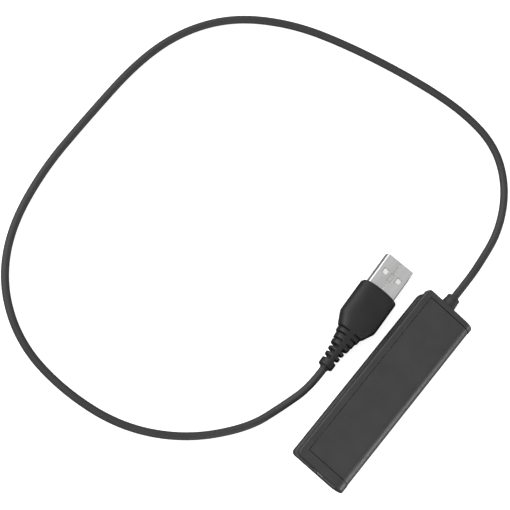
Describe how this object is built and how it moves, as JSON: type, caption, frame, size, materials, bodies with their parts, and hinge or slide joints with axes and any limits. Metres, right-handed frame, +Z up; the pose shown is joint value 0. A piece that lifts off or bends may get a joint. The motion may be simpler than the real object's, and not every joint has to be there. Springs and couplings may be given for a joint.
{
  "type": "usb wifi adapter",
  "caption": "Slim USB wifi adapter: flat case with an inlay panel, one rounded side, a gloss band, a window and a push button, on a thin lead with a USB-A plug.",
  "frame": {"origin": "middle of the underside of the case, on the surface it lies on; the lead and the plug are not counted", "axes": "+Y along the case towards the lead, +X towards the rounded side, +Z up out of the inlay panel"},
  "size_m": [0.1582, 0.1802, 0.009],
  "materials": {
    "case_matte": "fine moulded texture",
    "panel_matte": "fine moulded texture",
    "band_gloss": "polished",
    "lower_matte": "satin",
    "smoked_window": "polished, smoked",
    "button_gloss": "polished",
    "clear_pipe": "clear acrylic",
    "led_body": "clear resin over white",
    "switch_black": "matte",
    "plunger_plastic": "matte",
    "board_green": "solder mask",
    "chip_black": "moulded epoxy",
    "tin_sheet": "tinplate",
    "crystal_can": "satin",
    "ferrite": "ferrite",
    "capacitor_body": "ceramic",
    "resistor_body": "ceramic",
    "antenna_metal": "plated",
    "screw_steel": "zinc plated",
    "solder": "solder",
    "soft_black": "soft matte",
    "cord_black": "soft matte",
    "boot_black": "soft matte",
    "mould_white": "matte",
    "plug_steel": "satin plated",
    "insulator_white": "matte",
    "gold_contact": "gold plated",
    "wire_red": "matte",
    "wire_white": "matte",
    "wire_green": "matte",
    "wire_black": "matte"
  },
  "bodies": {
    "adapter": {"top_cover": "case_matte", "bottom_cover": "lower_matte", "wrap_panel": "panel_matte", "side_band": "band_gloss", "case_screws": "screw_steel", "led_window": "smoked_window", "light_pipe": "clear_pipe", "link_led": "led_body", "switch_body": "switch_black", "main_board": "board_green", "wifi_chip": "chip_black", "shield_frame": "tin_sheet", "shield_lid": "tin_sheet", "crystal": "crystal_can", "regulator_chip": "chip_black", "power_inductor": "ferrite", "chip_capacitors": "capacitor_body", "chip_resistors": "resistor_body", "antenna_left": "antenna_metal", "antenna_right": "antenna_metal", "solder_joints": "solder", "strain_relief": "soft_black", "cable_jacket": "cord_black", "wire_red": "wire_red", "wire_white": "wire_white", "wire_green": "wire_green", "wire_black": "wire_black", "plug_boot": "boot_black", "plug_inner_mould": "mould_white", "plug_shell": "plug_steel", "plug_insulator": "insulator_white", "power_contacts": "gold_contact", "data_contacts": "gold_contact", "plug_wires": "wire_red"},
    "button": {"wps_button": "button_gloss", "switch_plunger": "plunger_plastic"}
  },
  "joints": [
    {"name": "button_press", "type": "slide", "parent": "adapter", "child": "button", "axis": [0, 1, 0], "range_m": [0, 0.0004], "stiffness_N_per_m": 800}
  ]
}
